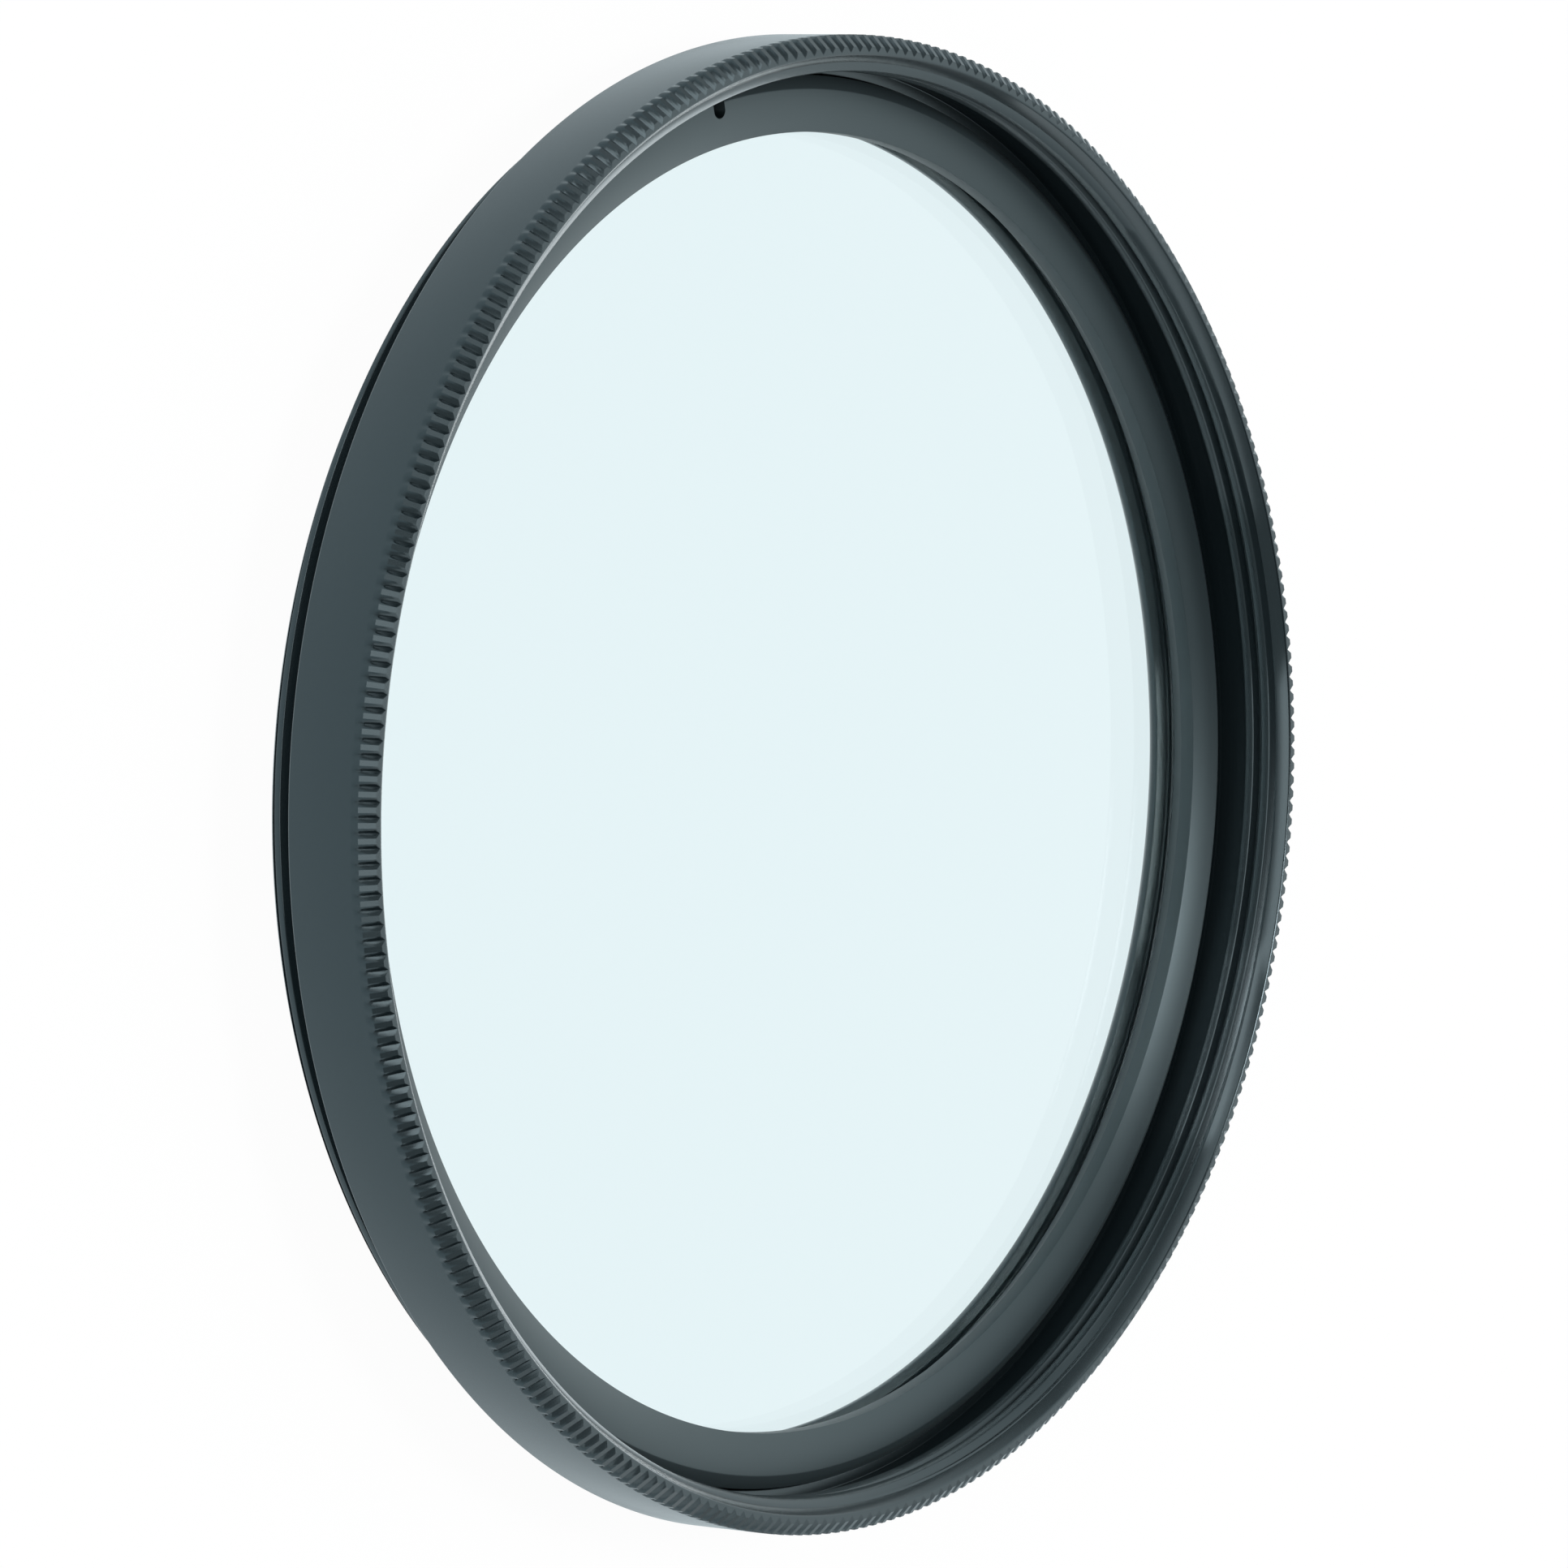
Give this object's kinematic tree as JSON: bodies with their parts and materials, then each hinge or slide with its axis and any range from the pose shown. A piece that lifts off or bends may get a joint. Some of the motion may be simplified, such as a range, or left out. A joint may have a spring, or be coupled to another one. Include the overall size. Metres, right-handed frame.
{
  "type": "screw-in lens filter",
  "caption": "Round clear filter for a camera lens: black knurled frame ring with a rear male and a front female thread, a flat glass disc and a slotted retaining ring.",
  "frame": {"origin": "centre of the rear end, on the surface that the filter lies on", "axes": "+Z along the filter's axis, from the rear thread towards the front mouth"},
  "size_m": [0.054, 0.054, 0.0058],
  "materials": {
    "anodised_frame": "satin black anodised, turned and knurled",
    "clear_glass": "polished optical glass",
    "anodised_ring": "satin black anodised, turned"
  },
  "bodies": {
    "root": {"frame_ring": "anodised_frame", "filter_glass": "clear_glass", "retaining_ring": "anodised_ring"}
  },
  "joints": []
}
